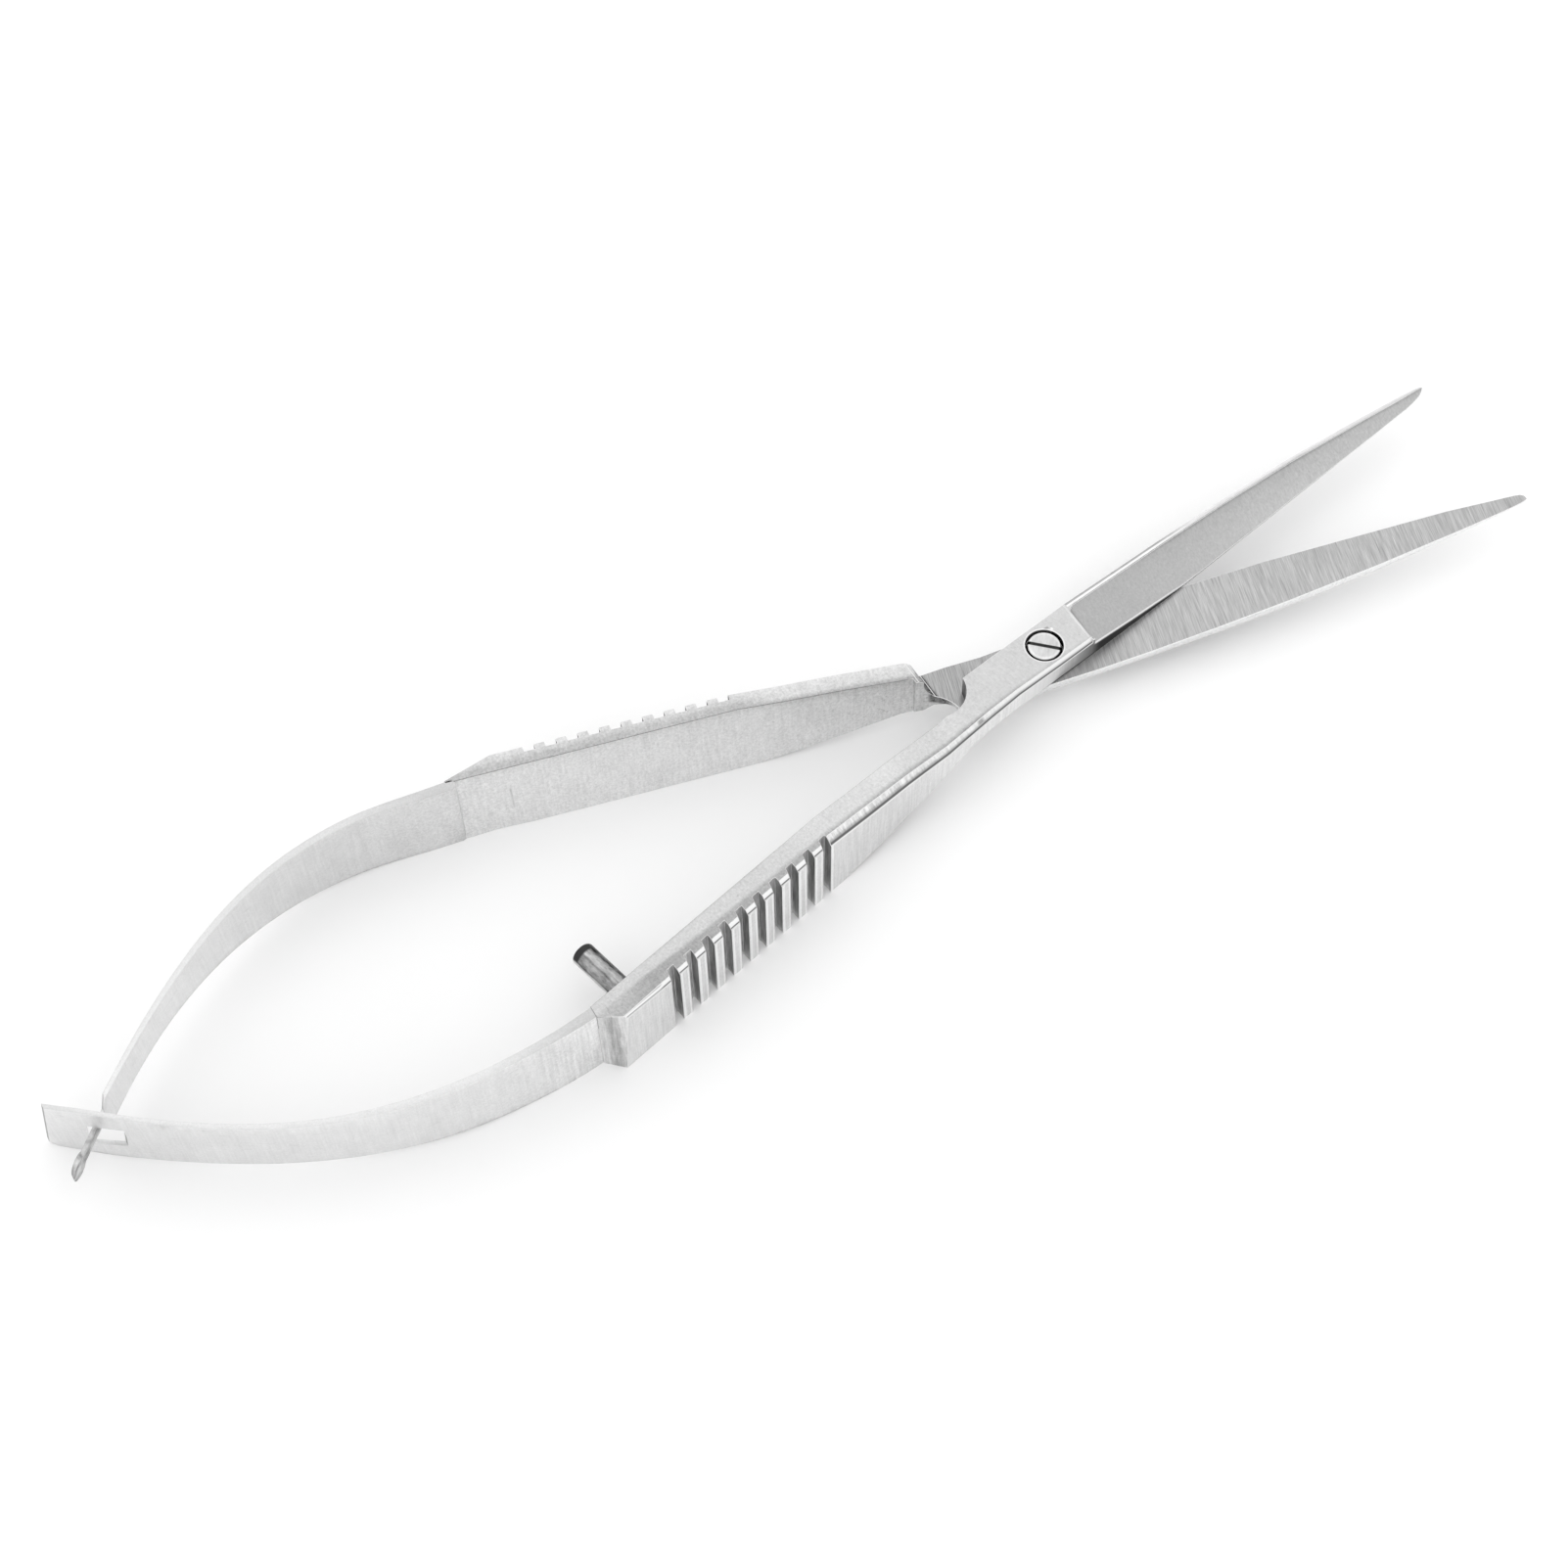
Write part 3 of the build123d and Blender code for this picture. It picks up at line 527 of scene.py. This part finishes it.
def pin_steel():
    """Drawn rod with painted reflections: dark lines down both sides and a light band between over mottled
    grey, darker towards the handle, and a dark rim at its end.
    """
    p = Paint("pin_steel")
    along = p.times(p.add(p.x, -PIN_X), math.cos(BAR_TURN))
    side = p.add(along, p.times(p.add(p.y, -PIN_Y), math.sin(BAR_TURN)))
    out = p.add(p.times(p.add(p.y, -PIN_Y), math.cos(BAR_TURN)), p.times(along, -SLOPE))
    across = p.add(p.times(side, 0.916), p.times(p.z, 0.4))  # from one dark line to the other
    mottle = p.noise(1.6, (1.0, 0.35, 1.0), BAR_TURN, detail=4.0, rough=0.7, shift=1.0)
    fine = p.noise(4.5, (1.0, 0.3, 1.0), BAR_TURN)
    wobble = p.noise(1.0, (0.4, 0.4, 0.4), detail=2.0, rough=0.5, shift=6.0)
    wave = p.add(across, p.swing(wobble, 0.08))
    # painted reflections: dark lines down both sides and a light band between
    bands = p.path(wave, [(-1.15, 0.75), (-0.95, 0.6), (-0.84, 0.12), (-0.7, 0.36), (-0.1, 0.3), (0.1, 0.2),
                          (0.3, 0.54), (0.7, 0.43), (0.9, 0.36), (1.02, 0.14), (1.15, 0.12)])
    tone = p.add(bands, p.ramp(mottle, 0.36, 0.64, -0.16, 0.14), p.swing(fine, 0.06))
    tone = p.add(tone, p.ramp(out, 3.0, 0.5, 0.0, -0.08))
    rim_line = p.times(p.ramp(out, 5.75, 5.95), p.ramp(across, -0.95, -0.75))
    tone = p.mix(rim_line, tone, 0.05)
    end = p.ramp(p.normal()[1], 0.8, 0.93)
    tone = p.mix(end, tone, p.add(0.5, p.swing(mottle, 0.1)))
    return p.finish(tone, 0.34, mottle, 0.01)


def screw_steel():
    """Turned screw face with soft cloudy marks and a painted highlight round its edge, painted shade in its
    slot and down its rim, and painted light on the side that faces the camera.
    """
    p = Paint("screw_steel")
    cloud = p.noise(1.4, (1.0, 0.4, 1.0), -0.7)
    fine = p.noise(6.0, (1.0, 0.08, 1.0), -0.76)
    radius = p.radius()
    # a painted highlight round the edge of the face
    face = p.add(0.6, p.swing(cloud, 0.1), p.swing(fine, 0.04), p.ramp(radius, 1.25, 1.5, 0.0, 0.2))
    # painted light on the side of the slot and rim that faces the camera
    lit_side = p.ramp(p.add(p.times(p.x, 0.49), p.times(p.y, 0.87)), -1.1, -1.5)
    # painted shade in the slot and down the rim
    slot = p.mix(p.ramp(radius, 1.35, 1.5), 0.3, p.mix(lit_side, 0.08, 0.5))
    return p.finish(p.mix(p.ramp(p.z, 2.36, 2.3), face, slot), 0.34, fine, 0.004)


def well_steel():
    """Wall of the well that the screw head sits in, painted nearly black as shade."""
    p = Paint("dark_wall")
    grain = p.noise(3.0, UPRIGHT)
    # painted shade, nearly black
    tone = p.add(0.03, p.swing(grain, 0.01))
    return p.finish(tone, p.spread(grain, 0.55, 0.65), grain, 0.004)


upper_satin = upper_steel()
lower_satin = lower_steel()
bevel_highlight = edge_steel()
chamfer_band = chamfer_steel()
upper_groove = groove_steel("groove", cheek_shade=0.66)
lower_groove = groove_steel("far_groove", cheek_shade=0.25)
notch = notch_steel()
well = well_steel()
upper_ground = ground_face("upper_ground", math.radians(-7.0), step=0.15)
lower_ground = ground_face("lower_ground", math.radians(7.0))
lower_scratched = scratched_face("lower_scratched", math.radians(-20.0))
rim = rim_steel()
cut_wall = cutting_wall()
upper_leaf_levels = [(-98.0, 0.85), (-80.0, 0.87), (-60.0, 0.87)]
lower_leaf_levels = [(-98.0, 0.92), (-86.0, 0.9), (-72.0, 0.82), (-58.0, 0.81)]
upper_leaf = leaf_steel("upper_leaf_steel", upper_leaf_levels, -56.5, streaks=1.0)
lower_leaf = leaf_steel("lower_leaf_steel", lower_leaf_levels, -57.0, streaks=0.3, tongue=0.6)


# ---------------------------------------------------------------- finishes on the CAD nodes
def paint(name, base, rules):
    """Gives each face of a CAD node the first material whose test its centre and normal pass."""
    mesh = nodes[name].data
    mesh.materials.clear()
    mesh.materials.append(base)
    for material, _ in rules:
        mesh.materials.append(material)
    for polygon in mesh.polygons:
        c = (polygon.center - PIVOT) / MM
        for index, (_, test) in enumerate(rules):
            if test(c, polygon.normal):
                polygon.material_index = index + 1
                break


def on_rim(c, n):
    rim_foot = level_at(SPINE_TOP, c.x) - level_at(RIM_WIDTHS, c.x)
    return c.x > STEP_X + 0.05 and n.z > 0.8 and c.y > rim_foot - 0.02


def in_groove(c, n, side):
    deep = side * c.y + BAR_OFFSET - SLOPE * c.x
    return -51.0 < c.x < -29.2 and 0.05 < deep < 1.2 and abs(n.z) < 0.3


paint("upper_lever", upper_satin, [
    (rim, on_rim),
    (upper_ground, lambda c, n: c.x > STEP_X - 0.02 and n.z > 0.7 and c.z > 0.1),
    (cut_wall, lambda c, n: c.x > -6.0 and n.z < 0.3 and n.y < -0.6),
    (well, lambda c, n: math.hypot(c.x, c.y) < 1.95 and c.z < 2.45),
    (upper_groove, lambda c, n: in_groove(c, n, 1)),
    (chamfer_band, lambda c, n: c.x < STEP_X and 0.25 < n.z < 0.95 and n.y < -0.3 and c.z > 1.5),
    (notch, lambda c, n: -12.5 < c.x < -8.5 and abs(n.z) < 0.3 and n.y > -0.2 and c.z > 0),
])
paint("lower_lever", lower_satin, [
    (lower_scratched, lambda c, n: n.z > 0.99 and abs(c.z) < 0.1),
    (notch, lambda c, n: -12.4 < c.x < -11.0 and 0.0 < c.z < 2.3 and n.x > 0.3),
    (lower_groove, lambda c, n: in_groove(c, n, -1)),
    (lower_ground, lambda c, n: c.x > STEP_X and n.z < -0.7),
])
paint("pivot_screw", screw_steel(), [])
paint("stop_pin", pin_steel(), [])

# ---------------------------------------------------------------- broken edges
SAME_POINT = 0.001 * MM
FLAT = math.radians(0.6)
SHARP = math.radians(28)
LEAF_SHARP = math.radians(35)


def bevel_edges(piece, width, sharp):
    bevel = piece.modifiers.new("edge", "BEVEL")
    bevel.width = width * MM
    bevel.segments = 2
    bevel.limit_method = "ANGLE"
    bevel.angle_limit = sharp
    bevel.harden_normals = True
    return bevel


def break_edges(name, width, edge_material=None):
    """Joins a CAD node's faces, merges its flat triangles and rounds its sharp edges."""
    piece = nodes[name]
    weld = piece.modifiers.new("weld", "WELD")
    weld.merge_threshold = SAME_POINT
    flat = piece.modifiers.new("flatten", "DECIMATE")
    flat.decimate_type = "DISSOLVE"
    flat.angle_limit = FLAT
    flat.delimit = {"MATERIAL"}
    bevel = bevel_edges(piece, width, SHARP)
    bevel.use_clamp_overlap = False
    if edge_material:
        piece.data.materials.append(edge_material)
        bevel.material = len(piece.data.materials) - 1


break_edges("upper_lever", 0.04, bevel_highlight)
break_edges("lower_lever", 0.05, bevel_highlight)
break_edges("pivot_screw", 0.03)
break_edges("stop_pin", 0.04)

# ---------------------------------------------------------------- leaves that bend
LEAF_CUTS = 45  # 1 mm apart, from the root on
ROOT_END = 0.12  # points this close to the root are carried into the handle


def bending_leaf(name, joint, material, into):
    """A leaf cut into short lengths, with its root's end carried into the handle block by the shift into."""
    root = [(a - b) / MM for a, b in zip(joints[joint]["pos_m"][:2], joints["squeeze"]["pos_m"])]
    source = nodes[name]
    shape = bmesh.new()
    shape.from_mesh(source.data)
    shape.transform(source.matrix_world)
    bmesh.ops.remove_doubles(shape, verts=shape.verts, dist=SAME_POINT)
    for i in range(1, LEAF_CUTS + 1):
        cut = place(root[0] - i, 0)
        geometry = shape.verts[:] + shape.edges[:] + shape.faces[:]
        bmesh.ops.bisect_plane(shape, geom=geometry, plane_co=cut, plane_no=(1, 0, 0), dist=SAME_POINT)
    limit = place(root[0] - ROOT_END, 0).x
    for vertex in shape.verts:
        if vertex.co.x > limit:
            vertex.co += Vector((into[0], into[1], 0)) * MM
    mesh = bpy.data.meshes.new(name + "_bent")
    shape.to_mesh(mesh)
    shape.free()
    mesh.materials.append(material)
    for polygon in mesh.polygons:
        polygon.use_smooth = True
    piece = bpy.data.objects.new(name + "_strip", mesh)
    bpy.context.scene.collection.objects.link(piece)
    bevel_edges(piece, 0.05, LEAF_SHARP)
    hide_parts(name)
    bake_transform(piece)


bending_leaf("upper_leaf_spring", "upper_spring_bend", upper_leaf, into=(0.9, 0.1))
bending_leaf("lower_leaf_spring", "lower_spring_bend", lower_leaf, into=(0.9, -0.14))

# ---------------------------------------------------------------- floor, light, camera
bpy.ops.mesh.primitive_plane_add(size=FLOOR_SIZE, location=(0, 0, 0))
floor = bpy.context.object
floor.name = "floor"
paper = Paint("floor_paper", metallic=0.0)
fibre = paper.noise(0.02, detail=2.0, rough=0.5)
floor.data.materials.append(paper.finish(paper.spread(fibre, 0.94, 0.96), 0.9))

world = bpy.data.worlds.new("studio")
bpy.context.scene.world = world
world.use_nodes = True
background = world.node_tree.nodes["Background"]
background.inputs["Color"].default_value = (1, 1, 1, 1)
background.inputs["Strength"].default_value = SKY


def softbox(name, direction, distance, size, power):
    """A rectangular lamp that looks at the frame's origin. Distance and size are metres, power is watts."""
    light = bpy.data.lights.new(name, "AREA")
    light.shape = "RECTANGLE"
    light.size, light.size_y = size
    light.energy = power
    holder = bpy.data.objects.new(name, light)
    bpy.context.scene.collection.objects.link(holder)
    holder.location = Vector(direction).normalized() * distance
    holder.rotation_euler = (-holder.location).to_track_quat("-Z", "Y").to_euler()


softbox("key", (0.2, 0.5, 0.75), distance=0.9, size=(0.8, 0.6), power=0.35)
softbox("fill", (-0.5, -0.8, 0.5), distance=0.9, size=(0.6, 0.6), power=0.15)

SENSOR, LENS = 36.0, 56.177932585  # width and focal length
AZIMUTH, ELEVATION, ROLL = (math.radians(v) for v in (-29.6369, 57.5729, -1.10217))
TO_PIVOT = Vector((25.0324, -11.9835, 237.1024))  # from the camera: right, down, forward

back = Vector((math.sin(AZIMUTH) * math.cos(ELEVATION), -math.cos(AZIMUTH) * math.cos(ELEVATION),
               math.sin(ELEVATION)))
right = Vector((math.cos(AZIMUTH), math.sin(AZIMUTH), 0))
up = back.cross(right)
spin = Matrix(((math.cos(ROLL), -math.sin(ROLL), 0), (math.sin(ROLL), math.cos(ROLL), 0), (0, 0, 1)))
view = spin @ Matrix((right, -up, -back))
camera = bpy.data.cameras.new("camera")
camera.sensor_width = SENSOR
camera.lens = LENS
camera.clip_start = 0.01
camera.clip_end = 20.0
camera_object = bpy.data.objects.new("camera", camera)
bpy.context.scene.collection.objects.link(camera_object)
pose = Matrix((view[0], -view[1], -view[2])).transposed().to_4x4()
pose.translation = PIVOT - (view.transposed() @ TO_PIVOT) * MM
camera_object.matrix_world = pose
bpy.context.scene.camera = camera_object
bpy.context.scene.view_settings.view_transform = "Standard"
